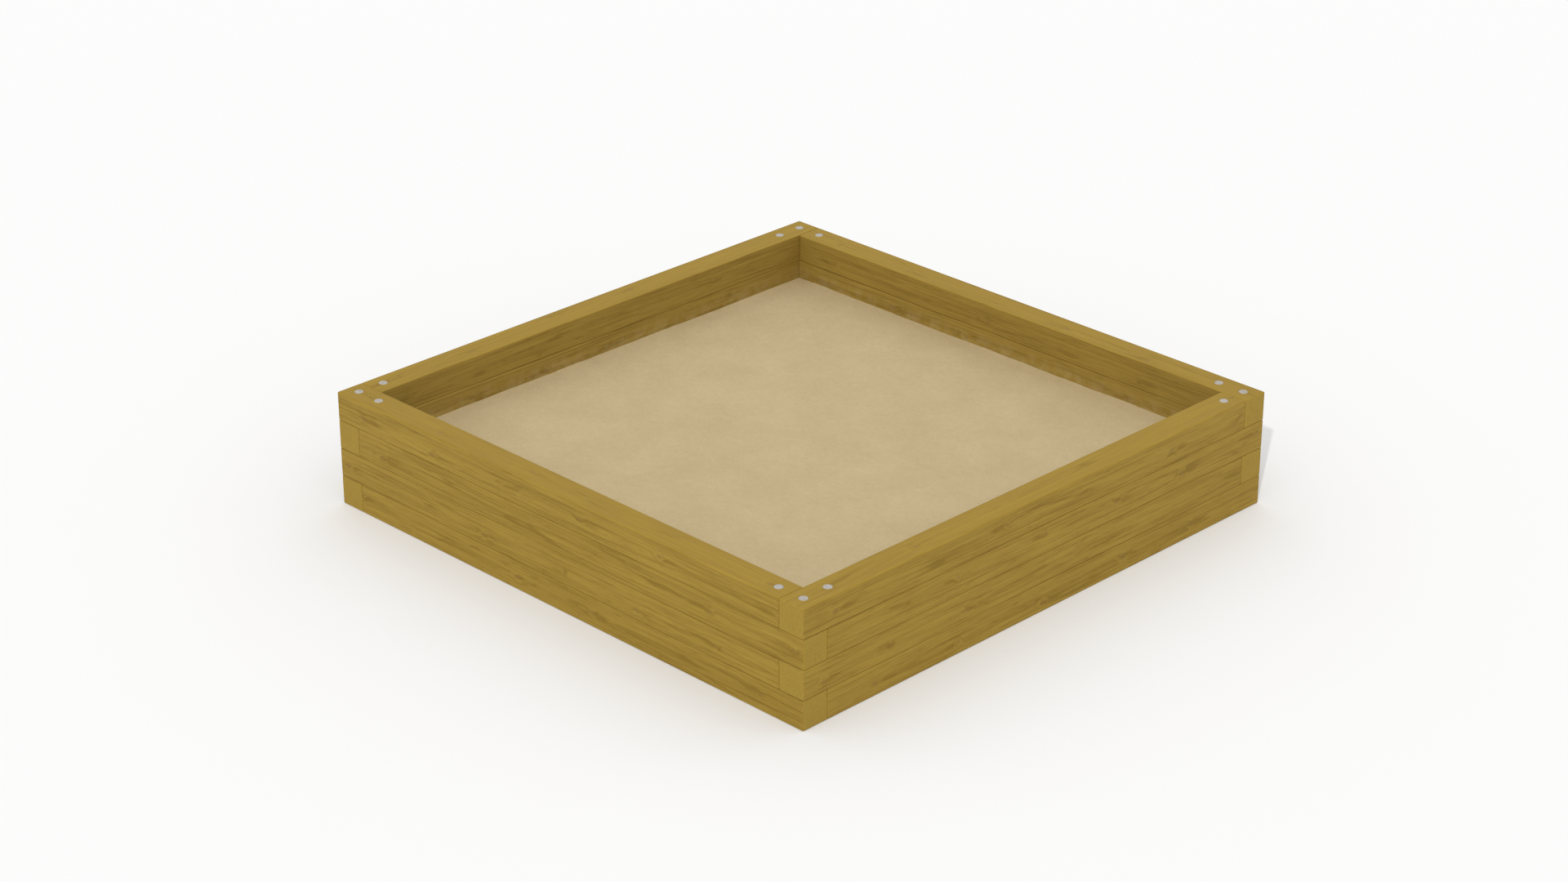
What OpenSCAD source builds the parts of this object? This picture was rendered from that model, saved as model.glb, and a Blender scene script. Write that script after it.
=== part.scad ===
// Square timber sandpit: courses of square timbers, lapped turn and turn about at the corners,
// held down by three full-height bolts a corner, with a ground liner and a sand fill inside.
// The origin is the centre of the footprint, on the ground: +X right, +Y back, +Z up, in mm.

/* [Timbers] */
// Width and height of each square timber
timber_w = 89; // [70:1:120]
// Length of each timber between its sawn ends
timber_len = 1800; // [1200:10:2400]
// Number of courses in each wall
courses = 4; // [3:1:5]
// Width of the eased arris on every edge of a timber
arris = 2.5; // [1:0.5:5]

/* [Filling] */
// Drop from the rim to the surface of the sand
sand_drop = 148.5; // [20:0.5:150]
// Thickness of the woven ground liner
liner_t = 1; // [0.6:0.1:3]
// Gap between the liner's edges and the timbers
liner_gap = 1.5; // [0.5:0.5:10]

/* [Bolts] */
// Diameter of the shank and of the thread's crests
bolt_d = 12.7; // [8:0.1:15.5]
// Diameter of the round head
head_d = 26; // [24:0.5:34]
// Height of the head's upright rim
head_rim = 1.4; // [1.2:0.1:3]
// Rise of the head's dome above its rim
head_crown = 1.8; // [0.8:0.1:5]
// Depth that the head is drawn down into the top timber
head_sink = 1; // [0.2:0.1:1]
// Length of the square neck under the head
neck_len = 7; // [4:0.5:12]
// Amount that each flat of the neck stands out past the shank
neck_step = 0.3; // [0.1:0.1:1]
// Length of the threaded end
thread_len = 34; // [24:1:60]
// Distance from one thread to the next
thread_pitch = 2; // [1.25:0.05:2.5]
// Length of thread that stands out past the nut
thread_past = 6; // [2:0.5:8]

/* [Washers and nuts] */
// Outer diameter of the washer
washer_d = 34.9; // [28:0.1:44]
// Thickness of the washer
washer_t = 2.8; // [1.5:0.1:4]
// Width of the nut across its flats
nut_af = 19.05; // [18:0.05:26]
// Height of the nut
nut_h = 11.1; // [6:0.1:13]
// Depth of the recess for the washer and the nut, up from the ground
recess_depth = 30; // [28:1:45]

/* [Clearances] */
// Gap all round between a shank and its bore
bore_clear = 0.8; // [0.3:0.1:2]
// Gap on each side of the square neck in its socket
neck_clear = 0.3; // [0.1:0.1:1]
// Gap all round the sunk rim of a head
seat_clear = 0.4; // [0.1:0.1:2]
// Gap all round the washer in its recess
recess_clear = 1.6; // [0.5:0.1:5]
// Gap all round between the thread and the nut's bore
thread_clear = 0.1; // [0.05:0.05:0.3]

/* [Hidden] */
// Overall sizes: the timbers lap end to side, so a wall is a timber and one width long
side_len = timber_len + timber_w;
half = side_len / 2;
height = courses * timber_w;
inner_half = half - timber_w;
sand_top = height - sand_drop;

// Bolt centres along a wall: one on each corner, and one a timber's width in from it
corner_x = half - timber_w / 2;
inner_x = corner_x - timber_w;
bolt_stops = [-corner_x, -inner_x, inner_x, corner_x];

// Bolt levels, up from the ground
seat_z = height - head_sink;
nut_z = recess_depth - washer_t - nut_h;
bolt_end_z = nut_z - thread_past;

// Fits
bolt_r = bolt_d / 2;
bore_r = bolt_r + bore_clear;
neck_w = bolt_d + 2 * neck_step;
socket_w = neck_w + 2 * neck_clear;
head_r = head_d / 2;
dome_r = (pow(head_r, 2) + pow(head_crown, 2)) / (2 * head_crown);
recess_r = washer_d / 2 + recess_clear;
nut_chamfer = 1;
cut_over = 1;

// Thread section: a 60 degree thread is 0.54 of its pitch deep, with flats on its crests and roots
thread_depth = 0.54 * thread_pitch;
root_r = bolt_r - thread_depth;
crest_flat = thread_pitch / 8;
root_flat = thread_pitch / 4;
$fn = 96;

// Names: every wall is drawn as the front one and turned a quarter for each step of the list
walls = ["front", "right", "back", "left"];
// Each wall holds three of its four bolts, as the one on its left-hand corner is the next wall's
spots = ["left", "right", "corner"];
function timber_name(wall, level) = str(walls[wall], "_timber_", level);
function fixing_name(wall, kind, spot) = str(walls[wall], "_", kind, "_", spots[spot]);
timber_names = [for (level = [1:courses]) for (wall = [0:3]) timber_name(wall, level)];
fixing_names = [
    for (kind = ["bolt", "washer", "nut"])
        for (wall = [0:3])
            for (spot = [0:2])
                fixing_name(wall, kind, spot)
];

// Square with its four corners cut off at 45 degrees, from the origin
module eased_rectangle(w, h) {
    polygon([
        [arris, 0], [w - arris, 0], [w, arris], [w, h - arris],
        [w - arris, h], [arris, h], [0, h - arris], [0, arris]
    ]);
}

// Timber blank along +X, with its arrises eased along its length and round both ends
module timber_blank() {
    intersection() {
        rotate([90, 0, 90]) linear_extrude(timber_len) eased_rectangle(timber_w, timber_w);
        linear_extrude(timber_w) eased_rectangle(timber_len, timber_w);
        translate([0, timber_w, 0])
            rotate([90, 0, 0]) linear_extrude(timber_w) eased_rectangle(timber_len, timber_w);
    }
}

// Seat for a bolt head and the square socket under it, in the top course
module head_cuts() {
    translate([0, 0, seat_z]) cylinder(h = head_sink + cut_over, r = head_r + seat_clear);
    translate([-socket_w / 2, -socket_w / 2, seat_z - neck_len - neck_clear])
        cube([socket_w, socket_w, neck_len + neck_clear + cut_over]);
}

// Recess for a washer and a nut, in the bottom course
module nut_cuts() {
    translate([0, 0, -cut_over]) cylinder(h = recess_depth + cut_over, r = recess_r);
}

// Odd courses run through at the wall's right-hand end, and even courses at its left-hand end
module front_timber(level) {
    start_x = level % 2 == 1 ? -half + timber_w : -half;
    base_z = (level - 1) * timber_w;
    difference() {
        translate([start_x, -half, base_z]) timber_blank();
        for (x = bolt_stops) {
            translate([x, -corner_x, 0]) {
                translate([0, 0, base_z - cut_over]) cylinder(h = timber_w + 2 * cut_over, r = bore_r);
                if (level == courses) head_cuts();
                if (level == 1) nut_cuts();
            }
        }
    }
}

module timber(wall, level) {
    color("darkgoldenrod") rotate([0, 0, 90 * wall]) front_timber(level);
}

// Puts a fixing on its bolt's centre line
module at_bolt(wall, spot) {
    rotate([0, 0, 90 * wall]) translate([bolt_stops[spot + 1], -corner_x, 0]) children();
}

// Shank with a ring for each thread, up from a chamfered end to the neck
module shank() {
    flank = (thread_pitch - crest_flat) / 2;
    grooves = floor(thread_len / thread_pitch) - 1;
    thread_side = [
        for (i = [1:grooves])
            let (mid = bolt_end_z + (i + 0.5) * thread_pitch)
                each [
                    [bolt_r, mid - flank], [root_r, mid - root_flat / 2],
                    [root_r, mid + root_flat / 2], [bolt_r, mid + flank]
                ]
    ];
    rotate_extrude() polygon(concat(
        [[0, bolt_end_z], [root_r, bolt_end_z], [bolt_r, bolt_end_z + thread_depth]],
        thread_side,
        [[bolt_r, seat_z - neck_len], [0, seat_z - neck_len]]
    ));
}

// Round head: an upright rim under a low spherical dome
module head() {
    rotate_extrude() intersection() {
        translate([0, head_rim + head_crown - dome_r]) circle(r = dome_r);
        square([head_r, head_rim + 2 * head_crown]);
    }
}

module bolt() {
    color("gainsboro") union() {
        shank();
        translate([-neck_w / 2, -neck_w / 2, seat_z - neck_len]) cube([neck_w, neck_w, neck_len]);
        translate([0, 0, seat_z]) head();
    }
}

module washer() {
    color("silver") translate([0, 0, recess_depth - washer_t])
        rotate_extrude() translate([bore_r, 0]) square([washer_d / 2 - bore_r, washer_t]);
}

// Hexagon nut with both faces chamfered down to its flats
module nut() {
    corner_r = nut_af / sqrt(3);
    face_r = nut_af / 2;
    color("darkgray") translate([0, 0, nut_z]) difference() {
        intersection() {
            cylinder(h = nut_h, r = corner_r, $fn = 6);
            rotate_extrude() polygon([
                [0, 0], [face_r, 0], [corner_r + cut_over, nut_chamfer + cut_over],
                [corner_r + cut_over, nut_h - nut_chamfer - cut_over], [face_r, nut_h], [0, nut_h]
            ]);
        }
        translate([0, 0, -cut_over]) cylinder(h = nut_h + 2 * cut_over, r = bolt_r + thread_clear);
    }
}

// Sand, filled level between the walls
module sand() {
    color("tan") translate([-inner_half, -inner_half, liner_t])
        cube([2 * inner_half, 2 * inner_half, sand_top - liner_t]);
}

// Woven sheet laid on the ground under the sand
module liner() {
    liner_half = inner_half - liner_gap;
    color("dimgray") translate([-liner_half, -liner_half, 0])
        cube([2 * liner_half, 2 * liner_half, liner_t]);
}

for (level = [1:courses], wall = [0:3])
    timber(wall, level);
for (wall = [0:3], spot = [0:2]) {
    at_bolt(wall, spot) bolt();
    at_bolt(wall, spot) washer();
    at_bolt(wall, spot) nut();
}
sand();
liner();
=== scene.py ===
import math
from random import Random

import bmesh
import bpy
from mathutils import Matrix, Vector, noise


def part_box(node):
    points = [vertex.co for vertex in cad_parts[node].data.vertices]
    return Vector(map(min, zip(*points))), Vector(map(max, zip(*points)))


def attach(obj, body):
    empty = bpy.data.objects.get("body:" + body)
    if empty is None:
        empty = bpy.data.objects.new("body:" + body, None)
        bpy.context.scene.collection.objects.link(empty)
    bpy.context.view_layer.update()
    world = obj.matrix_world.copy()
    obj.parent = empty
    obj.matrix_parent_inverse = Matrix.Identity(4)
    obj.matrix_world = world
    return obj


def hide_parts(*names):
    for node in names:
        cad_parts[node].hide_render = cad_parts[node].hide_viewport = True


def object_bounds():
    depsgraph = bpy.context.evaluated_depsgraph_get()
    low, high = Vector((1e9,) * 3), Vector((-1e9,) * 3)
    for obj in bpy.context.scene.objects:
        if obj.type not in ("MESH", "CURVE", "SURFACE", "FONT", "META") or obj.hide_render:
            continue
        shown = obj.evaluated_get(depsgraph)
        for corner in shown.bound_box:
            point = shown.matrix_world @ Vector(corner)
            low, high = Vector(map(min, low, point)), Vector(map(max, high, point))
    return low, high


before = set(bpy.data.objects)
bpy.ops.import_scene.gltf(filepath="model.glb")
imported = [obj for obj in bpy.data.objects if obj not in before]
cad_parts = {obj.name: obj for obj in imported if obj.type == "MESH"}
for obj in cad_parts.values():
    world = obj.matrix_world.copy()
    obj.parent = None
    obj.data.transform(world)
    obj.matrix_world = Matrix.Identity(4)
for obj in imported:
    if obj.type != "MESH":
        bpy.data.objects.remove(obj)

# all lengths are in metres, in the frame of the box: X to the right wall, Y to the back wall, Z up
cadLow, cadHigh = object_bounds()
halfSide = (cadHigh.x - cadLow.x) / 2
wallNames = ["front", "right", "back", "left"]  # each is the one before, turned a quarter about Z
courseCount = sum(name.startswith("front_timber_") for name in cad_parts)
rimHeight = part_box(f"front_timber_{courseCount}")[1].z
sandLow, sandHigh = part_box("sand")
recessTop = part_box("front_washer_left")[1].z
boltCentres = [sum(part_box(name), Vector()) / 2 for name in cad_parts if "_bolt_" in name]
print("frame loaded:", len(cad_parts), "nodes,", courseCount, "courses")


class Wire:
    # one output socket, which takes part in sums as a number would
    def __init__(self, tree, socket=None):
        self.tree = tree
        self.socket = socket

    def node(self, kind, settings=None, sockets=None, out=0):
        made = self.tree.nodes.new("ShaderNode" + kind)
        for name, value in (settings or {}).items():
            if name == "stops":
                fillRamp(made.color_ramp, value)
            else:
                setattr(made, name, value)
        for key, value in (sockets or {}).items():
            if isinstance(value, Wire):
                self.tree.links.new(value.socket, made.inputs[key])
            else:
                made.inputs[key].default_value = value
        return Wire(self.tree, made.outputs[out] if made.outputs else None)

    def maths(self, operation, *values):
        return self.node("Math", {"operation": operation}, dict(enumerate(values)))

    def __add__(self, other):
        return self.maths("ADD", self, other)

    def __radd__(self, other):
        return self.maths("ADD", other, self)

    def __sub__(self, other):
        return self.maths("SUBTRACT", self, other)

    def __rsub__(self, other):
        return self.maths("SUBTRACT", other, self)

    def __mul__(self, other):
        return self.maths("MULTIPLY", self, other)

    def __rmul__(self, other):
        return self.maths("MULTIPLY", other, self)

    def __truediv__(self, other):
        return self.maths("DIVIDE", self, other)

    def __rtruediv__(self, other):
        return self.maths("DIVIDE", other, self)

    def __pow__(self, other):
        return self.maths("POWER", self, other)

    def __gt__(self, other):
        return self.maths("GREATER_THAN", self, other)

    def __abs__(self):
        return self.maths("ABSOLUTE", self)

    def root(self):
        return self.maths("SQRT", self)

    def floor(self):
        return self.maths("FLOOR", self)

    def fraction(self):
        return self.maths("FRACT", self)

    def sign(self):
        return self.maths("SIGN", self)

    def sine(self):
        return self.maths("SINE", self)

    def cosine(self):
        return self.maths("COSINE", self)

    def least(self, other):
        return self.maths("MINIMUM", self, other)

    def most(self, other):
        return self.maths("MAXIMUM", self, other)

    def rise(self, low, high):
        # 0 below low, 1 above high, and a smooth step between
        sockets = {"Value": self, "From Min": low, "From Max": high}
        return self.node("MapRange", {"interpolation_type": "SMOOTHSTEP"}, sockets)

    def fall(self, low, high):
        return 1 - self.rise(low, high)

    def also(self, name):
        # another output of the same node
        return Wire(self.tree, self.socket.node.outputs[name])

    def parts(self):
        # the three numbers of a vector
        first = self.node("SeparateXYZ", {}, {0: self}, "X")
        return first, first.also("Y"), first.also("Z")

    def chances(self):
        # three random numbers from 0 to 1, which change where this value does
        draw = self.node("TexWhiteNoise", {"noise_dimensions": "1D"}, {"W": self}, "Color")
        first = self.node("SeparateColor", {}, {0: draw}, "Red")
        return first, first.also("Green"), first.also("Blue")

    def shifted(self, offset):
        return self.node("VectorMath", {"operation": "ADD"}, {0: self, 1: offset})

    def stretched(self, factors):
        return self.node("VectorMath", {"operation": "MULTIPLY"}, {0: self, 1: factors})

    def shaded(self, amount):
        # this colour, made lighter or darker by a factor
        return self.node("VectorMath", {"operation": "SCALE"}, {0: self, "Scale": amount})

    def blend(self, under, over):
        # two colours, mixed by this value
        return self.node("Mix", {"data_type": "RGBA"}, {0: self, 6: under, 7: over}, 2)

    def cloud(self, scale, detail=2.0, roughness=0.5, distortion=0.0):
        sockets = {"Vector": self, "Scale": scale, "Detail": detail}
        sockets.update({"Roughness": roughness, "Distortion": distortion})
        return self.node("TexNoise", {"noise_dimensions": "3D"}, sockets)

    def cells(self, scale, feature="F1", out="Distance"):
        return self.node("TexVoronoi", {"feature": feature}, {"Vector": self, "Scale": scale}, out)


def fillRamp(ramp, stops):
    while len(ramp.elements) < len(stops):
        ramp.elements.new(1.0)
    for element, (place, colour) in zip(ramp.elements, stops):
        element.position = place
        element.color = colour


def newMaterial(name):
    material = bpy.data.materials.new(name)
    material.use_nodes = True
    material.node_tree.nodes.clear()
    return material, Wire(material.node_tree)


def finishMaterial(wires, colour, roughness, height, look, metallic=0.0):
    bumps = {"Height": height, "Distance": look["bumpDepth"], "Strength": look["bumpStrength"]}
    sockets = {
        "Base Color": colour,
        "Roughness": roughness,
        "Metallic": metallic,
        "Specular IOR Level": look["specular"],
        "Normal": wires.node("Bump", {}, bumps),
    }
    surface = wires.node("BsdfPrincipled", {}, sockets, "BSDF")
    wires.node("OutputMaterial", {}, {"Surface": surface})


def newPiece(name, shape, material, replaced):
    # turns a finished bmesh into an object that rides on the box and stands for one CAD node
    mesh = bpy.data.meshes.new(name)
    shape.to_mesh(mesh)
    shape.free()
    mesh.materials.append(material)
    piece = bpy.data.objects.new(name, mesh)
    bpy.context.scene.collection.objects.link(piece)
    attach(piece, "root")
    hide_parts(replaced)
    return piece


def smoothPiece(piece, sharpAngle):
    piece.data.polygons.foreach_set("use_smooth", [True] * len(piece.data.polygons))
    piece.data.set_sharp_from_angle(angle=math.radians(sharpAngle))


def settlePiece(piece):
    # works the modifiers of a piece into its mesh
    graph = bpy.context.evaluated_depsgraph_get()
    mesh = bpy.data.meshes.new_from_object(piece.evaluated_get(graph))
    piece.modifiers.clear()
    piece.data = mesh


def spinProfile(shape, profile, centre, steps):
    # turns rows of (radius, height, isSquare) about the upright line through centre
    tiny = 1e-6
    before = len(shape.verts)
    start = [shape.verts.new((centre.x + radius, centre.y, height)) for radius, height, _ in profile]
    edges = [shape.edges.new(pair) for pair in zip(start, start[1:])]
    middle = (centre.x, centre.y, 0)
    turn = {"axis": (0, 0, 1), "cent": middle, "angle": 2 * math.pi, "steps": steps, "use_merge": True}
    bmesh.ops.spin(shape, geom=start + edges, **turn)
    made = shape.verts[before:]
    squareRows = [row[:2] for row in profile if row[2]]
    for vert in made:
        arm = vert.co.xy - centre.xy
        for radius, height in squareRows:
            if abs(arm.length - radius) < tiny and abs(vert.co.z - height) < tiny:
                vert.co.xy = centre.xy + arm * (radius / max(abs(arm.x), abs(arm.y)))
                break
    bmesh.ops.remove_doubles(shape, verts=made, dist=tiny)


# camera, with its distance and the point that it looks at in half sides of the box
camera = {
    "lens": 79.8,
    "azimuth": 45.0,
    "elevation": 25.23,
    "distance": 11.16,
    "lookAt": (-0.3531, 0.2793, 0.0),
    "farthest": 500,
}


def addCamera():
    azimuth = math.radians(camera["azimuth"])
    elevation = math.radians(camera["elevation"])
    back = Vector((
        math.sin(azimuth) * math.cos(elevation),
        -math.cos(azimuth) * math.cos(elevation),
        math.sin(elevation),
    ))
    data = bpy.data.cameras.new("studioCamera")
    data.lens = camera["lens"]
    data.clip_end = camera["farthest"]
    eye = bpy.data.objects.new("studioCamera", data)
    eye.location = (Vector(camera["lookAt"]) + back * camera["distance"]) * halfSide
    eye.rotation_euler = (-back).to_track_quat("-Z", "Y").to_euler()
    bpy.context.scene.collection.objects.link(eye)
    bpy.context.scene.camera = eye


# studio: an even white room, a weak directional key from the camera's side, and a pale floor
studio = {
    "roomStrength": 0.91,
    "roomColour": (0.992, 0.995, 1.0, 1.0),
    "keyStrength": 1.2,
    "keyColour": (1.0, 0.985, 0.955),
    "keyAngle": 1.2,  # degrees
    "keyTravel": (-0.445, 0.695, -0.565),
    "floorColour": (0.875, 0.875, 0.875, 1.0),
    "floorHalf": 60.0,
    "floorDrop": 0.0003,
}


def addStudio():
    room = bpy.data.worlds.new("studioRoom")
    room.use_nodes = True
    room.node_tree.nodes["Background"].inputs["Color"].default_value = studio["roomColour"]
    room.node_tree.nodes["Background"].inputs["Strength"].default_value = studio["roomStrength"]
    bpy.context.scene.world = room

    keyData = bpy.data.lights.new("keyLight", "SUN")
    keyData.energy = studio["keyStrength"]
    keyData.angle = math.radians(studio["keyAngle"])
    keyData.color = studio["keyColour"]
    key = bpy.data.objects.new("keyLight", keyData)
    key.rotation_euler = Vector(studio["keyTravel"]).to_track_quat("-Z", "Y").to_euler()
    bpy.context.scene.collection.objects.link(key)

    material, wires = newMaterial("studioFloor")
    matt = wires.node("BsdfDiffuse", {}, {"Color": studio["floorColour"]}, "BSDF")
    wires.node("OutputMaterial", {}, {"Surface": matt})
    mesh = bpy.data.meshes.new("studioFloor")
    shape = bmesh.new()
    bmesh.ops.create_grid(shape, x_segments=1, y_segments=1, size=studio["floorHalf"])
    bmesh.ops.translate(shape, verts=shape.verts, vec=(0, 0, cadLow.z - studio["floorDrop"]))
    shape.to_mesh(mesh)
    shape.free()
    mesh.materials.append(material)
    floor = bpy.data.objects.new("studioFloor", mesh)
    bpy.context.scene.collection.objects.link(floor)
    bpy.context.scene.view_settings.view_transform = "Standard"


addCamera()
addStudio()
print("camera, light and floor in place")


# timbers: stained softwood, sawn square with rounded arrises, and bored for the bolts
timberLook = {
    # stains, and tints that multiply them
    "paleStain": (0.350, 0.235, 0.034, 1.0),
    "midStain": (0.298, 0.191, 0.025, 1.0),
    "darkStain": (0.213, 0.127, 0.010, 1.0),
    "stainStops": (0.90, 0.52, 0.08),
    "knotStain": (0.105, 0.055, 0.006, 1.0),
    "heartStain": (0.270, 0.150, 0.030, 1.0),
    "endStain": (0.300, 0.196, 0.029),
    # painted light: the rim's top faces made paler, partly as sun bleaching
    "rimPaintedLightAndBleach": (1.115, 1.11, 0.95),
    # painted shade: the inner faces made darker and less yellow
    "innerPaintedShade": (0.915, 0.915, 0.96),
    "dust": (0.570, 0.456, 0.262, 1.0),

    # knots, in whorls along the pith, and the dark grain beside each one
    "pithShift": 0.28,  # at most, in half widths of the timber
    "pithClear": (0.002, 0.010),  # no knot shows nearer the pith than this
    "whorlSpacing": (0.27, 0.34),
    "whorlStart": (10, 40),
    "whorlWander": 0.3,  # in spacings
    "whorlTwist": 0.6,
    "quarterDraws": (0.31, 0.17),  # sets the draws of a whorl's four knots apart
    "knotShare": 0.75,
    "knotRadius": (0.0035, 0.0075),
    "knotLean": 0.5,
    "knotFlat": 0.5,  # below 1, a knot is longer along the timber than across it
    "knotEdge": (0.60, 1.35),  # in knot radii, as the heart's and the swell's are
    "heartEdge": (0.25, 0.85),
    "swellEdge": (0.3, 4.0),
    "knotTint": 0.26,
    "heartTint": 0.40,
    "flameShift": 0.030,  # the dark grain lies this far along from its knot
    "flameSize": (0.080, 0.015),
    "flameChance": (0.05, 0.10),
    "bow": 0.004,

    # growth rings: the late wood's rise and fall are in ring widths
    "ringWidth": 0.0052,
    "ringWander": 0.030,
    "lateRise": (0.30, 0.86),
    "lateFall": (0.90, 1.0),
    "lateMean": 0.65,  # how dark the rings are, how much they differ, and how fast that changes
    "lateSpread": 0.35,
    "lateStep": 2.4,

    # grain: patches to the metre along and across it, and each noise's detail, roughness and distortion
    "grainStart": (-40, 40),
    "wanderScale": (1.1, 7, 7),
    "streakScale": (4, 92, 92),
    "streakNoise": (5.0, 0.70, 0.15),
    "bandScale": (0.8, 12, 12),
    "pawScale": (14, 84, 84),  # small dark patches
    "pawNoise": (5.0, 0.66, 0.3),
    "pawNearKnots": 0.20,
    "pawEdge": (0.54, 0.74),
    "fibreScale": (16, 780, 780),
    "fibreNoise": (4.0, 0.75),
    "fleckScale": (26, 420, 420),  # short dark dashes
    "fleckEdge": (0.55, 0.78),
    "seamScale": (0.8, 46, 46),  # long thin lines, in patches
    "seamEdge": (0.004, 0.040),
    "seamPatchScale": (1.6, 12, 12),
    "seamPatchEdge": (0.44, 0.58),

    # how far each layer of the grain moves the tone between the stains
    "meanTone": 0.51,
    "streakTone": 1.50,
    "bandTone": 0.30,
    "fibreTone": 0.75,
    "lateTone": 0.24,
    "pawTone": 0.30,
    "flameTone": 0.06,
    "fleckTone": 0.18,
    "seamTone": 0.32,
    "rimCalm": 0.45,

    # arrises: where they begin, in half widths and half lengths, and in metres from the outer faces
    "longEdge": (0.920, 0.975),
    "endEdge": (0.9955, 0.9990),
    "cornerEdge": (0.005, 0.003),
    "rimEdge": (0.0035, 0.0005),
    # painted highlight on the arrises at the box's outer corners
    "cornerPaintedHighlight": 0.04,
    # painted shade on the arrises in the joints between timbers
    "jointPaintedShade": 0.05,
    "tightScale": (5, 2, 2),
    "tightEdge": (0.4, 0.6),
    "tightMost": 0.5,

    # sawn ends: rings, mottle, and checks that run out from the pith
    "endFacing": (0.75, 0.95),
    "endTone": 1.04,
    "endRings": 0.13,
    "endMottle": 0.22,
    "endMottleNoise": (120, 3.0),  # patches to the metre, and detail
    "checkScale": 2.6,
    "checkNoise": (3.0, 0.7),
    "checkWidth": 0.010,
    "checkRise": (0.003, 0.008),
    "checkFall": (0.020, 0.036),
    "checkDark": 0.30,

    # dust on the inner faces
    "inwardEdge": (0.0005, 0.0015),  # past the sand's edge
    "dustEverywhere": 0.04,
    "dustSplash": 0.16,
    "splashHeight": (0.005, 0.060),  # above the sand
    "driftScale": 30,
    "driftNoise": (3.0, 0.6),
    "driftEdge": (0.35, 0.70),

    # surface: roughness and bump, and how much of each layer they carry
    "roughness": 0.64,
    "streakRough": 0.25,
    "endRough": 0.12,
    "knotRough": 0.12,
    "specular": 0.22,
    "bumpDepth": 0.0004,
    "bumpStrength": 0.5,
    "fibreRelief": 0.35,
    "lateRelief": 0.30,
    "streakRelief": 0.4,
    "endRelief": 0.5,
    "endGrainScale": 300,
    "seamRelief": 0.4,
    "knotRelief": 0.3,

    # shape
    "arris": 0.0036,
    "arrisSteps": 4,
    "boreRadius": 0.00715,
    "socketHalf": 0.00695,
    "socketDepth": 0.0073,
    "seatRadius": 0.0134,
    "seatDepth": 0.001,
    "recessRadius": 0.01905,
    "cutPast": 0.004,  # how far a bore's cutter stands out of the timber
    "turnSteps": 48,
    "sharpAngle": 35,  # degrees between two faces, past which their edge stays sharp
}


def knotLayers(along, side, upward, dice):
    # whorls of up to four knots, which run outwards from the pith to the four long faces
    look = timberLook
    spacing = dice.uniform(*look["whorlSpacing"])
    cell = along / spacing + dice.uniform(*look["whorlStart"])
    whorl = cell.floor()
    turnChance, placeChance, _ = whorl.chances()
    twist = (turnChance - 0.5) * look["whorlTwist"]
    sideArm = side * twist.cosine() + upward * twist.sine()
    upArm = upward * twist.cosine() - side * twist.sine()
    sideDraw, signDraw = look["quarterDraws"]
    quarter = (abs(sideArm) > abs(upArm)) * sideDraw + ((sideArm + upArm) > 0) * signDraw
    knotChance, leanChance, sizeChance = (whorl + quarter).chances()
    outward = abs(sideArm).most(abs(upArm))
    aside = abs(sideArm).least(abs(upArm))
    lean = (cell.fraction() - 0.5 + (placeChance - 0.5) * look["whorlWander"]) * spacing
    lean = lean - outward * (leanChance - 0.5) * look["knotLean"]
    missing = 1 - look["knotShare"]
    soft = 0.01
    there = outward.rise(*look["pithClear"]) * knotChance.rise(missing - soft, missing + soft)
    least, most = look["knotRadius"]
    gap = (lean * lean * look["knotFlat"] + aside * aside).root()
    gap = gap / (least + sizeChance * (most - least))
    knot = gap.fall(*look["knotEdge"]) * there
    heart = gap.fall(*look["heartEdge"]) * there
    swell = gap.fall(*look["swellEdge"]) * there
    flameLength, flameWidth = look["flameSize"]
    shift = (sizeChance - 0.5).sign() * look["flameShift"]
    tail = (((lean - shift) / flameLength) ** 2 + (aside / flameWidth) ** 2).root()
    flame = tail.fall(0.0, 1.0) * there.most(knotChance.rise(*look["flameChance"]))
    return knot, heart, swell, flame


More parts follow.
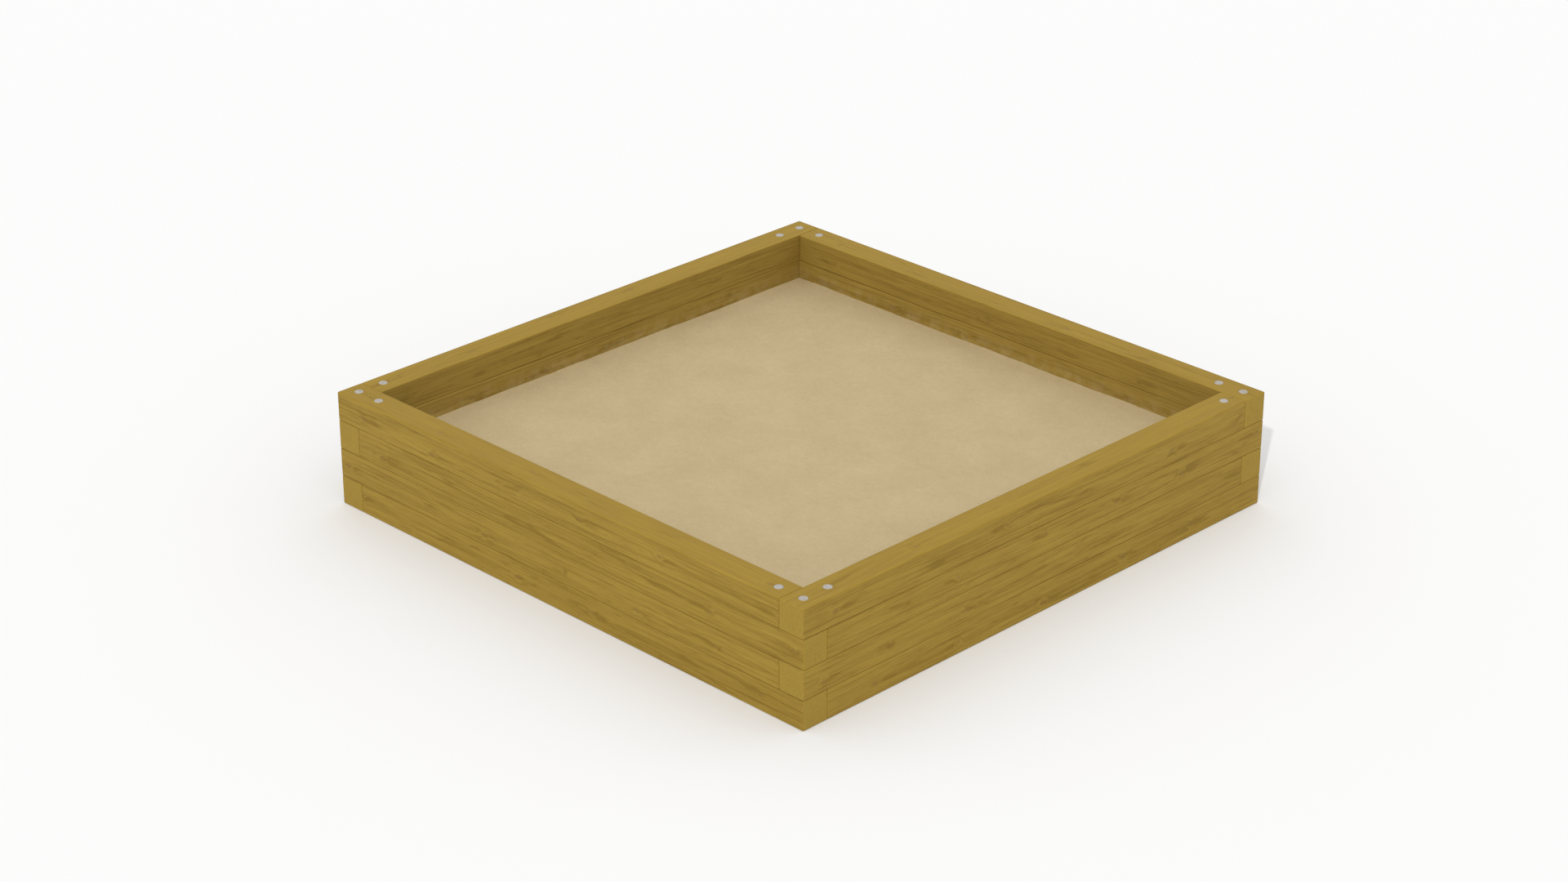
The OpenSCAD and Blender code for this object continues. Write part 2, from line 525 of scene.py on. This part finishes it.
def timberMaterial(name, wall, level):
    # grain space: X along the timber, Y and Z across it, from the timber's middle
    look = timberLook
    low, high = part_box(name)
    thick = (high.z - low.z) / 2
    long = max(high.x - low.x, high.y - low.y) / 2
    dice = Random(100 * level + wall)
    material, wires = newMaterial(name + "_stain")
    place = wires.node("TexCoord", out="Object")
    quarterTurns = (0, 0, wall * math.pi / 2)
    toTimber = {"Vector": place, "Location": (low + high) / 2, "Rotation": quarterTurns}
    local = wires.node("Mapping", {"vector_type": "TEXTURE"}, toTimber)
    along, across, upward = local.parts()
    pithSide = across - dice.uniform(-look["pithShift"], look["pithShift"]) * thick
    pithUp = upward - dice.uniform(-look["pithShift"], look["pithShift"]) * thick
    knot, heart, swell, flame = knotLayers(along, pithSide, pithUp, dice)

    # growth rings, and grain that bows round the knots
    bow = wires.node("CombineXYZ", {}, {"Y": swell * look["bow"], "Z": swell * look["bow"]})
    start = [dice.uniform(*look["grainStart"]) for _ in range(3)]
    grain = local.shifted(start).shifted(bow)
    wander = grain.stretched(look["wanderScale"]).cloud(1.0)
    radius = (pithSide * pithSide + pithUp * pithUp).root()
    rings = (radius + wander * look["ringWander"] + swell * look["bow"]) / look["ringWidth"]
    season = rings.fraction()
    late = season.rise(*look["lateRise"]) * season.fall(*look["lateFall"])
    late = late * ((rings.floor() * look["lateStep"]).sine() * look["lateSpread"] + look["lateMean"])
    streak = grain.stretched(look["streakScale"]).cloud(1.0, *look["streakNoise"])
    band = grain.stretched(look["bandScale"]).cloud(1.0)
    paw = grain.stretched(look["pawScale"]).cloud(1.0, *look["pawNoise"])
    paw = (paw + flame * look["pawNearKnots"]).rise(*look["pawEdge"])
    fibre = grain.stretched(look["fibreScale"]).cloud(1.0, *look["fibreNoise"])
    fleck = grain.stretched(look["fleckScale"]).cloud(1.0).rise(*look["fleckEdge"])
    seamGap = grain.stretched(look["seamScale"]).cells(1.0, "DISTANCE_TO_EDGE")
    seamPatch = grain.stretched(look["seamPatchScale"]).cloud(1.0, 1.0).rise(*look["seamPatchEdge"])
    seam = seamGap.fall(*look["seamEdge"]) * seamPatch

    # sawn ends, rounded arrises, and the open rim and outer corners of the box
    normal = wires.node("NewGeometry", out="Normal")
    toTimber = {"Vector": normal, "Rotation": quarterTurns}
    facing, _, _ = wires.node("Mapping", {"vector_type": "TEXTURE"}, toTimber).parts()
    end = abs(facing).rise(*look["endFacing"])
    nearSide = abs(across) / thick
    nearTop = abs(upward) / thick
    nearEnd = abs(along) / long
    longEdge = nearSide.least(nearTop).rise(*look["longEdge"])
    endEdge = nearSide.most(nearTop).least(nearEnd).rise(*look["endEdge"])
    arris = longEdge.most(endEdge)
    boxX, boxY, boxZ = place.parts()
    deep, shallow = look["cornerEdge"]
    openCorner = abs(boxX).least(abs(boxY)).rise(halfSide - deep, halfSide - shallow)
    deep, shallow = look["rimEdge"]
    openRim = boxZ.rise(rimHeight - deep, rimHeight - shallow)
    tight = grain.stretched(look["tightScale"]).cloud(1.0).rise(*look["tightEdge"]) * look["tightMost"]
    # arrises where one timber meets another, away from the rim and outer corners, which carry painted
    # shade in the joints
    jointShadeEdge = arris * (1 - openCorner.most(openRim)) * (1 - tight)

    tone = (streak - 0.5) * look["streakTone"] + (band - 0.5) * look["bandTone"]
    tone = tone + (fibre - 0.5) * look["fibreTone"] - late * look["lateTone"] - paw * look["pawTone"]
    tone = tone - flame * look["flameTone"] - fleck * look["fleckTone"] - seam * look["seamTone"]
    tone = look["meanTone"] + tone * (1 - openRim * look["rimCalm"])
    paleStop, midStop, darkStop = look["stainStops"]
    stops = [(darkStop, look["darkStain"]), (midStop, look["midStain"]), (paleStop, look["paleStain"])]
    faceColour = wires.node("ValToRGB", {"stops": stops}, {0: tone}, "Color")

    # end grain, with checks that run out from the pith
    spoke = wires.node("CombineXYZ", {}, {"X": pithSide / radius, "Y": pithUp / radius})
    start = [dice.uniform(*look["grainStart"]) for _ in range(3)]
    spoke = spoke.shifted(start).cloud(look["checkScale"], *look["checkNoise"])
    check = abs(spoke - 0.5).fall(0.0, look["checkWidth"])
    check = check * radius.rise(*look["checkRise"]) * radius.fall(*look["checkFall"])
    endTone = look["endTone"] - late * look["endRings"]
    endTone = endTone + (grain.cloud(*look["endMottleNoise"]) - 0.5) * look["endMottle"]
    endTone = endTone - check * look["checkDark"]
    endColour = wires.node("VectorMath", {"operation": "SCALE"}, {0: look["endStain"], "Scale": endTone})

    colour = end.blend(faceColour, endColour)
    colour = (knot * look["knotTint"]).blend(colour, look["knotStain"])
    colour = (heart * look["heartTint"]).blend(colour, look["heartStain"])
    # painted light on the rim's top faces, partly sun bleaching
    colour = openRim.blend(colour, colour.stretched(look["rimPaintedLightAndBleach"]))
    # painted highlight along the arrises at the outer corners
    cornerHighlightEdge = arris * openCorner
    # painted shade along the arrises in the joints between timbers
    colour = colour.shaded(1 + cornerHighlightEdge * look["cornerPaintedHighlight"] - jointShadeEdge * look["jointPaintedShade"])

    # painted shade that darkens the inner faces, and sand dust on them, thicker just above the sand
    near, far = look["inwardEdge"]
    inward = abs(boxX).most(abs(boxY)).fall(sandHigh.x + near, sandHigh.x + far)
    drift = place.cloud(look["driftScale"], *look["driftNoise"]).rise(*look["driftEdge"])
    near, far = look["splashHeight"]
    splash = boxZ.fall(sandHigh.z + near, sandHigh.z + far)
    # painted shade on the inner faces
    colour = inward.blend(colour, colour.stretched(look["innerPaintedShade"]))
    dust = inward * (look["dustEverywhere"] + splash * drift * look["dustSplash"])
    colour = dust.blend(colour, look["dust"])

    height = fibre * look["fibreRelief"] - late * look["lateRelief"] + streak * look["streakRelief"]
    endHeight = late * look["endRelief"] + grain.cloud(look["endGrainScale"])
    height = height * (1 - end) + endHeight * end
    height = height - seam * look["seamRelief"] + knot * look["knotRelief"]
    rough = look["roughness"] + (streak - 0.5) * look["streakRough"]
    rough = rough + end * look["endRough"] - knot * look["knotRough"]
    finishMaterial(wires, colour, rough, height, look)
    return material


def boreProfile(low, high, level):
    # a bore, with a nut recess in the bottom course, and a socket and a head seat in the top one
    look = timberLook
    foot = low.z - look["cutPast"]
    top = high.z + look["cutPast"]
    rows = [(look["boreRadius"], foot, False)]
    if level == 1:
        rows = [(look["recessRadius"], foot, False), (look["recessRadius"], recessTop, False)]
        rows.append((look["boreRadius"], recessTop, False))
    if level == courseCount:
        seat = high.z - look["seatDepth"]
        socket = seat - look["socketDepth"]
        rows += [(look["boreRadius"], socket, False), (look["socketHalf"], socket, True)]
        rows += [(look["socketHalf"], seat, True), (look["seatRadius"], seat, False)]
    rows.append((rows[-1][0], top, False))
    return [(0, foot, False)] + rows + [(0, top, False)]


def cutTimber(piece, name, level):
    low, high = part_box(name)
    profile = boreProfile(low, high, level)
    shape = bmesh.new()
    for centre in boltCentres:
        if low.x < centre.x < high.x and low.y < centre.y < high.y:
            spinProfile(shape, profile, centre, timberLook["turnSteps"])
    bmesh.ops.recalc_face_normals(shape, faces=shape.faces)
    mesh = bpy.data.meshes.new("boltBores")
    shape.to_mesh(mesh)
    shape.free()
    cutter = bpy.data.objects.new("boltBores", mesh)
    bpy.context.scene.collection.objects.link(cutter)
    cut = piece.modifiers.new("bores", "BOOLEAN")
    cut.object = cutter
    cut.operation = "DIFFERENCE"
    cut.solver = "EXACT"
    settlePiece(piece)
    bpy.data.objects.remove(cutter)
    bpy.data.meshes.remove(mesh)


def makeTimber(name, wall, level):
    look = timberLook
    low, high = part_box(name)
    shape = bmesh.new()
    bmesh.ops.create_cube(shape, size=1)
    bmesh.ops.scale(shape, verts=shape.verts, vec=high - low)
    bmesh.ops.translate(shape, verts=shape.verts, vec=(low + high) / 2)
    ease = {"offset": look["arris"], "segments": look["arrisSteps"], "profile": 0.5}
    bmesh.ops.bevel(shape, geom=shape.edges[:], offset_type="OFFSET", affect="EDGES", material=-1, **ease)
    piece = newPiece(name + "_wood", shape, timberMaterial(name, wall, level), name)
    cutTimber(piece, name, level)
    smoothPiece(piece, look["sharpAngle"])
    piece.modifiers.new("evenShading", "WEIGHTED_NORMAL").keep_sharp = True
    settlePiece(piece)


for level in range(1, courseCount + 1):
    for wall, wallName in enumerate(wallNames):
        makeTimber(f"{wallName}_timber_{level}", wall, level)
print("timbers sawn, bored and stained")


# bolts, washers and nuts: hot-dip galvanised steel
steelLook = {
    "zinc": (0.52, 0.485, 0.44, 1.0),
    "dullZinc": (0.37, 0.345, 0.315, 1.0),
    "spangle": 240.0,  # flakes to the metre
    "flakeTone": 0.35,
    "flakeRough": 0.16,
    "flakeRelief": 0.4,
    "bloomScale": 90.0,
    "bloomNoise": (4.0, 0.6),  # detail and roughness
    "bloomEdge": (0.42, 0.70),
    "bloomTone": 0.65,
    "bloomRough": 0.12,
    "bloomMetal": 0.25,
    "grainScale": 2200.0,
    "grainRelief": 0.6,
    "roughness": 0.5,
    "metallic": 0.6,
    "specular": 0.5,
    "bumpDepth": 0.00008,
    "bumpStrength": 0.4,
}
boltLook = {
    "shankRadius": 0.00635,
    "threadDepth": 0.00108,
    "threadPitch": 0.002,
    "threadLength": 0.034,
    "crestFlat": 0.12,  # in pitches, as is the root's
    "rootFlat": 0.24,
    "neckHalf": 0.00665,
    "neckLength": 0.007,
    "headRim": 0.0014,
    "rimRound": 0.0005,
    "domeSteps": 7,
    "turnSteps": 48,
    "sharpAngle": 40,
}


def zincMaterial():
    look = steelLook
    material, wires = newMaterial("galvanisedSteel")
    place = wires.node("TexCoord", out="Object")
    flake = place.cells(look["spangle"], out="Color")
    tone = wires.node("SeparateColor", {}, {0: flake}, "Red")
    bloom = place.cloud(look["bloomScale"], *look["bloomNoise"]).rise(*look["bloomEdge"])
    fine = place.cloud(look["grainScale"])
    dull = tone * look["flakeTone"] + bloom * look["bloomTone"]
    colour = dull.blend(look["zinc"], look["dullZinc"])
    rough = look["roughness"] + (tone - 0.5) * look["flakeRough"] + bloom * look["bloomRough"]
    metallic = look["metallic"] - bloom * look["bloomMetal"]
    height = fine * look["grainRelief"] + tone * look["flakeRelief"]
    finishMaterial(wires, colour, rough, height, look, metallic)
    return material


def makeBolt(name, material):
    look = boltLook
    low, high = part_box(name)
    headRadius = (high.x - low.x) / 2
    seat = rimHeight - timberLook["seatDepth"]
    neck = seat - look["neckLength"]
    shank = look["shankRadius"]
    root = shank - look["threadDepth"]
    pitch = look["threadPitch"]
    flank = pitch * (1 - look["crestFlat"]) / 2
    halfRoot = pitch * look["rootFlat"] / 2
    profile = [(0, low.z, False), (root, low.z, False), (shank, low.z + look["threadDepth"], False)]
    for turn in range(1, round(look["threadLength"] / pitch)):
        middle = low.z + (turn + 0.5) * pitch
        profile += [(shank, middle - flank, False), (root, middle - halfRoot, False)]
        profile += [(root, middle + halfRoot, False), (shank, middle + flank, False)]
    profile += [(shank, neck, False), (look["neckHalf"], neck, True), (look["neckHalf"], seat, True)]
    rimTop = seat + look["headRim"]
    crown = high.z - rimTop
    domeRadius = (headRadius ** 2 + crown ** 2) / (2 * crown)
    profile += [(headRadius, seat, False), (headRadius, rimTop - look["rimRound"], False)]
    for step in range(look["domeSteps"] + 1):
        radius = (headRadius - look["rimRound"]) * (1 - step / look["domeSteps"])
        profile.append((radius, high.z - domeRadius + math.sqrt(domeRadius ** 2 - radius ** 2), False))
    shape = bmesh.new()
    spinProfile(shape, profile, (low + high) / 2, look["turnSteps"])
    bmesh.ops.recalc_face_normals(shape, faces=shape.faces)
    piece = newPiece(name + "_steel", shape, material, name)
    smoothPiece(piece, look["sharpAngle"])


zinc = zincMaterial()
for name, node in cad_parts.items():
    if "_bolt_" in name:
        makeBolt(name, zinc)
    elif "_washer_" in name or "_nut_" in name:
        for slot in node.material_slots:
            slot.material = zinc
print("bolts, washers and nuts galvanised")


# sand: a level fill, with soft unevenness and a little banked against the walls
sandLook = {
    "pale": (0.570, 0.456, 0.262, 1.0),
    "deep": (0.480, 0.375, 0.203, 1.0),
    "sandStops": (0.9, 0.1),  # tones at which the sand is pale and deep
    "darkGrain": (0.27, 0.20, 0.115, 1.0),
    "darkChance": (0.93, 0.95),
    "darkTint": 0.55,
    "grain": 0.0011,
    "grainTone": 0.45,
    "grainRough": 0.12,
    "grainRelief": 1.2,
    "patchScale": 5.5,
    "patchNoise": (5.0, 0.62, 0.4),  # detail, roughness and distortion
    "patchTone": 1.1,
    "mottleScale": 46,
    "mottleNoise": (4.0, 0.65),
    "mottleTone": 0.7,
    "mottleRelief": 0.6,
    "roughness": 0.86,
    "specular": 0.25,
    "bumpDepth": 0.0006,
    "bumpStrength": 0.6,
    "cuts": 262,
    "swell": 0.0022,
    "swellScale": 2.6,
    "swellStart": (3, 5, 0),
    "ripple": 0.0007,
    "rippleScale": 21,
    "rippleStart": (9, 2, 4),
    "bank": 0.0016,
    "bankScale": 9,
    "bankReach": 0.035,
    "sharpAngle": 40,
}


def sandMaterial():
    look = sandLook
    material, wires = newMaterial("playSand")
    place = wires.node("TexCoord", out="Object")
    flat = place.stretched((1, 1, 0))
    patch = flat.cloud(look["patchScale"], *look["patchNoise"])
    mottle = flat.cloud(look["mottleScale"], *look["mottleNoise"])
    grainColour = place.cells(1 / look["grain"], out="Color")
    hue = wires.node("SeparateColor", {}, {0: grainColour}, "Red")
    isDark = hue.also("Green").rise(*look["darkChance"])
    hollow = place.cells(1 / look["grain"])
    tone = 0.5 + (patch - 0.5) * look["patchTone"] + (mottle - 0.5) * look["mottleTone"]
    tone = tone + (hue - 0.5) * look["grainTone"]
    paleStop, deepStop = look["sandStops"]
    stops = [(deepStop, look["deep"]), (paleStop, look["pale"])]
    colour = wires.node("ValToRGB", {"stops": stops}, {0: tone}, "Color")
    colour = (isDark * look["darkTint"]).blend(colour, look["darkGrain"])
    height = 1 - hollow * look["grainRelief"] + mottle * look["mottleRelief"]
    rough = look["roughness"] + (hue - 0.5) * look["grainRough"]
    finishMaterial(wires, colour, rough, height, look)
    return material


def sandHeight(spot, reach):
    # how far the surface stands above its level at a spot
    look = sandLook
    swell = noise.noise(spot * look["swellScale"] + Vector(look["swellStart"])) * look["swell"]
    ripple = noise.noise(spot * look["rippleScale"] + Vector(look["rippleStart"])) * look["ripple"]
    wallGap = reach - max(abs(spot.x), abs(spot.y))
    bank = max(0.0, 1 - wallGap / look["bankReach"]) ** 2 * look["bank"]
    return swell + ripple + bank * (1 + noise.noise(spot * look["bankScale"]))


def makeSand():
    look = sandLook
    reach = (sandHigh.x - sandLow.x) / 2
    shape = bmesh.new()
    bmesh.ops.create_grid(shape, x_segments=look["cuts"], y_segments=look["cuts"], size=reach)
    for vert in shape.verts:
        vert.co.z = sandHigh.z + sandHeight(vert.co.copy(), reach)
    rim = [edge for edge in shape.edges if edge.is_boundary]
    skirt = bmesh.ops.extrude_edge_only(shape, edges=rim)["geom"]
    for item in skirt:
        if isinstance(item, bmesh.types.BMVert):
            item.co.z = sandLow.z
    foot = [item for item in skirt if isinstance(item, bmesh.types.BMEdge) and item.is_boundary]
    bmesh.ops.edgeloop_fill(shape, edges=foot)
    bmesh.ops.recalc_face_normals(shape, faces=shape.faces)
    piece = newPiece("sandFill", shape, sandMaterial(), "sand")
    smoothPiece(piece, look["sharpAngle"])


makeSand()
print("sand filled")


# liner: a woven ground sheet, laid flat under the sand
linerLook = {
    "tape": (0.020, 0.021, 0.023, 1.0),
    "wornTape": (0.046, 0.046, 0.048, 1.0),
    "tapeWidth": 0.0024,
    "overEdge": (-0.05, 0.05),  # where one tape passes over the other
    "overTint": 0.25,
    "dipRough": 0.1,
    "rubScale": 16,
    "rubNoise": (4.0, 0.6),  # detail and roughness
    "rubEdge": (0.45, 0.75),
    "rubTint": 0.6,
    "rubRough": 0.25,
    "roughness": 0.50,
    "specular": 0.5,
    "bumpDepth": 0.0002,
    "bumpStrength": 0.7,
    "cloth": 0.0005,
    "cuts": 90,
    "unevenness": 0.00018,
    "unevenScale": 14,
    "sharpAngle": 40,
}


def linerMaterial():
    look = linerLook
    material, wires = newMaterial("wovenLiner")
    place = wires.node("TexCoord", out="Object")
    warp, weft, _ = place.stretched([math.pi / look["tapeWidth"]] * 3).parts()
    warpWave = warp.sine()
    weftWave = weft.sine()
    over = (warpWave * weftWave).rise(*look["overEdge"])
    height = abs(warpWave) * over + abs(weftWave) * (1 - over)
    rub = place.cloud(look["rubScale"], *look["rubNoise"]).rise(*look["rubEdge"])
    worn = rub * look["rubTint"] + over * look["overTint"]
    colour = worn.blend(look["tape"], look["wornTape"])
    rough = look["roughness"] + rub * look["rubRough"] + (1 - height) * look["dipRough"]
    finishMaterial(wires, colour, rough, height, look)
    return material


def makeLiner():
    look = linerLook
    low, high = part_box("liner")
    size = high.x - low.x
    middle = (low.z + high.z) / 2
    shape = bmesh.new()
    bmesh.ops.create_grid(shape, x_segments=look["cuts"], y_segments=look["cuts"], size=size / 2)
    for vert in shape.verts:
        vert.co.z = middle + noise.noise(vert.co * look["unevenScale"]) * look["unevenness"]
    bmesh.ops.solidify(shape, geom=shape.faces[:], thickness=look["cloth"])
    bmesh.ops.recalc_face_normals(shape, faces=shape.faces)
    heights = [vert.co.z for vert in shape.verts]
    drop = middle - (min(heights) + max(heights)) / 2
    bmesh.ops.translate(shape, verts=shape.verts, vec=(0, 0, drop))
    piece = newPiece("groundLiner", shape, linerMaterial(), "liner")
    smoothPiece(piece, look["sharpAngle"])


makeLiner()
print("liner laid")
